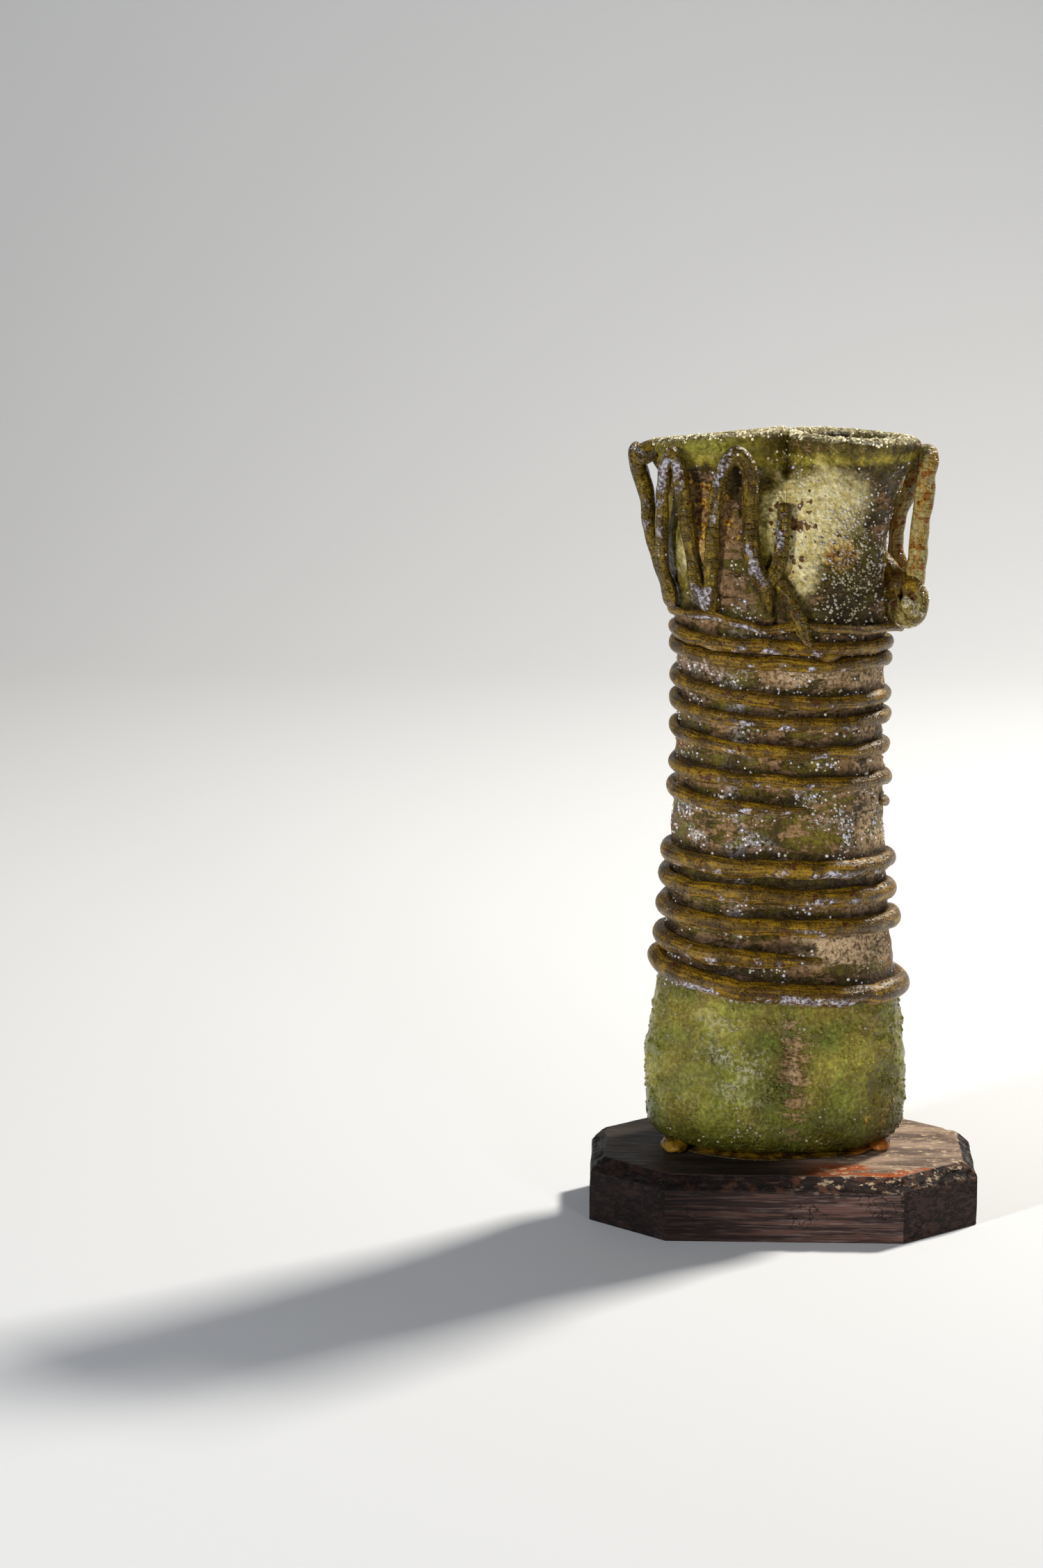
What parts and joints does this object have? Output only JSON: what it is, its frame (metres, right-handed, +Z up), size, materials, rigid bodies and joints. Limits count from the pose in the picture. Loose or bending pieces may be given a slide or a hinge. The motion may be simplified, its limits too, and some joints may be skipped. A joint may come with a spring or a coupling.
{
  "type": "double unguentarium",
  "caption": "Double kohl tube of green blown glass, pinched into two bores, with a wound spiral trail and openwork zigzag trails, on a cut-corner wooden display stand.",
  "frame": {"origin": "middle of the stand's underside", "axes": "+Z up along the tubes, +X to the right seen from the front, the front looks along -Y"},
  "size_m": [0.063, 0.04, 0.1289],
  "materials": {
    "stand_wood": "dark polished wood, worn at the edges",
    "green_glass": "weathered olive-green glass with iridescent pitting",
    "amber_glass": "glossy amber glass",
    "trail_glass": "glossy amber-green trailed glass with beige soil",
    "weathered_glass": "mottled cream and amber weathered glass"
  },
  "bodies": {
    "stand": {"wooden_stand": "stand_wood"},
    "vessel": {"foot_pad": "amber_glass", "double_tube_body": "green_glass", "collar_thread": "trail_glass", "upper_spiral_trail": "trail_glass", "lower_spiral_trail": "trail_glass", "base_ring_trail": "trail_glass", "left_zigzag_trail": "trail_glass", "right_zigzag_trail": "weathered_glass", "handle_knob": "weathered_glass", "front_tail": "trail_glass"}
  },
  "joints": [
    {"name": "vessel_lift", "type": "slide", "parent": "stand", "child": "vessel", "axis": [0, 0, 1], "range_m": [0, 0.03]}
  ]
}
